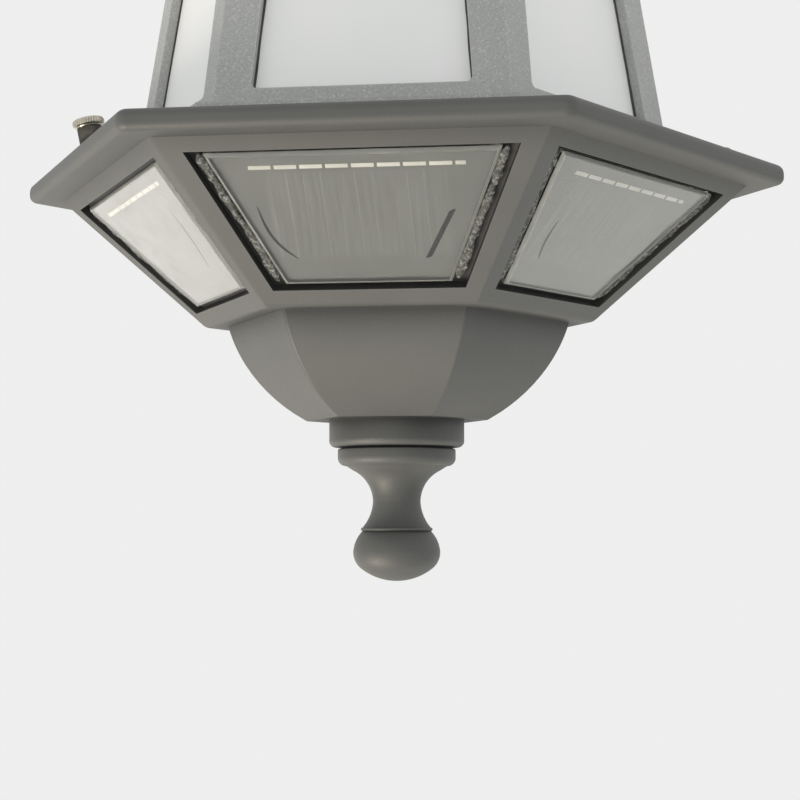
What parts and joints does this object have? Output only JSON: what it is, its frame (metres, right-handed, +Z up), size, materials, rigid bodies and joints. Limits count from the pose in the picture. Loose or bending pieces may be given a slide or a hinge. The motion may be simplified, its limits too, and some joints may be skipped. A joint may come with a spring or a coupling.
{
  "type": "solar wall light",
  "caption": "Six-sided hanging wall lantern with frosted panes, a swan-neck arm and a hinged solar head below it that ends in a dome and a turned finial",
  "frame": {"origin": "the middle of the wall bracket's back face, on the wall's surface", "axes": "+Y points into the wall, +Z up as in the picture (the lantern hangs from its arm and the solar head and finial are below), and +X is to the right of someone facing the wall"},
  "size_m": [0.2228, 0.237, 0.4126],
  "materials": {
    "powder_coated_casting": "matte",
    "zinc_plated_steel": "satin",
    "nickel_plated_screw": "satin",
    "frosted_glass": "matte",
    "clear_cover": "polished",
    "solar_cells": "gloss",
    "clear_silicone": "satin",
    "black_rubber": "matte",
    "white_plastic": "satin",
    "opal_plastic": "matte",
    "black_plastic": "satin",
    "circuit_board": "satin",
    "led_board": "satin",
    "light_chip": "satin",
    "battery_wrap": "gloss"
  },
  "bodies": {
    "lantern": {"wall_bracket": "zinc_plated_steel", "bracket_studs": "zinc_plated_steel", "cap_nuts": "zinc_plated_steel", "wall_plate": "powder_coated_casting", "wall_gasket": "black_rubber", "arm": "powder_coated_casting", "arm_screws": "zinc_plated_steel", "arm_nipple": "zinc_plated_steel", "nipple_nut": "zinc_plated_steel", "top_cap": "powder_coated_casting", "lantern_cage": "powder_coated_casting", "pane_clips": "zinc_plated_steel", "hinge_bracket": "zinc_plated_steel", "hinge_rivets": "zinc_plated_steel", "hinge_pin": "zinc_plated_steel", "glass_pane_1": "frosted_glass", "glass_pane_2": "frosted_glass", "glass_pane_3": "frosted_glass", "glass_pane_4": "frosted_glass", "glass_pane_5": "frosted_glass", "glass_pane_6": "frosted_glass"},
    "head": {"battery_box": "white_plastic", "battery_cell": "battery_wrap", "battery_contacts": "nickel_plated_screw", "battery_cover_pin": "zinc_plated_steel", "board_spacers": "white_plastic", "control_board": "circuit_board", "control_components": "black_plastic", "diffuser_screws": "zinc_plated_steel", "finial": "powder_coated_casting", "finial_gasket": "black_rubber", "finial_nut": "zinc_plated_steel", "finial_stud": "zinc_plated_steel", "head_gasket": "black_rubber", "head_plate": "powder_coated_casting", "head_screws": "zinc_plated_steel", "head_shell": "powder_coated_casting", "hinge_tongue": "zinc_plated_steel", "led_board": "led_board", "led_chips": "light_chip", "led_diffuser": "opal_plastic", "panel_sealant": "clear_silicone", "solar_board_1": "solar_cells", "solar_board_2": "solar_cells", "solar_board_3": "solar_cells", "solar_board_4": "solar_cells", "solar_board_5": "solar_cells", "solar_board_6": "solar_cells", "solar_cover_1": "clear_cover", "solar_cover_2": "clear_cover", "solar_cover_3": "clear_cover", "solar_cover_4": "clear_cover", "solar_cover_5": "clear_cover", "solar_cover_6": "clear_cover", "switch_body": "black_plastic", "tongue_screws": "zinc_plated_steel"},
    "screw_clip": {"screw_clip": "zinc_plated_steel"},
    "thumb_screw": {"thumb_screw": "nickel_plated_screw"},
    "battery_cover": {"battery_cover": "white_plastic"},
    "switch_slider": {"switch_slider": "black_plastic"}
  },
  "joints": [
    {"name": "head_hinge", "type": "hinge", "parent": "lantern", "child": "head", "pos_m": [0.095, -0.14, -0.21676], "axis": [0, -1, 0], "range_deg": [0, 100]},
    {"name": "thumb_screw_travel", "type": "slide", "parent": "lantern", "child": "screw_clip", "axis": [-0.2079, 0, 0.9781], "range_m": [0, 0.006]},
    {"name": "thumb_screw_spin", "type": "hinge", "parent": "screw_clip", "child": "thumb_screw", "pos_m": [-0.0898, -0.14, -0.21896], "axis": [-0.2079, 0, 0.9781], "range_deg": [0, 3086]},
    {"name": "battery_cover_hinge", "type": "hinge", "parent": "head", "child": "battery_cover", "pos_m": [0, -0.0892, -0.21696], "axis": [-1, 0, 0], "range_deg": [0, 80]},
    {"name": "switch_slide", "type": "slide", "parent": "head", "child": "switch_slider", "axis": [0, 1, 0], "range_m": [0, 0.004]}
  ],
  "couplings": [
    {"joint": "thumb_screw_spin", "follows": "thumb_screw_travel", "rad_per_m": 8976}
  ]
}
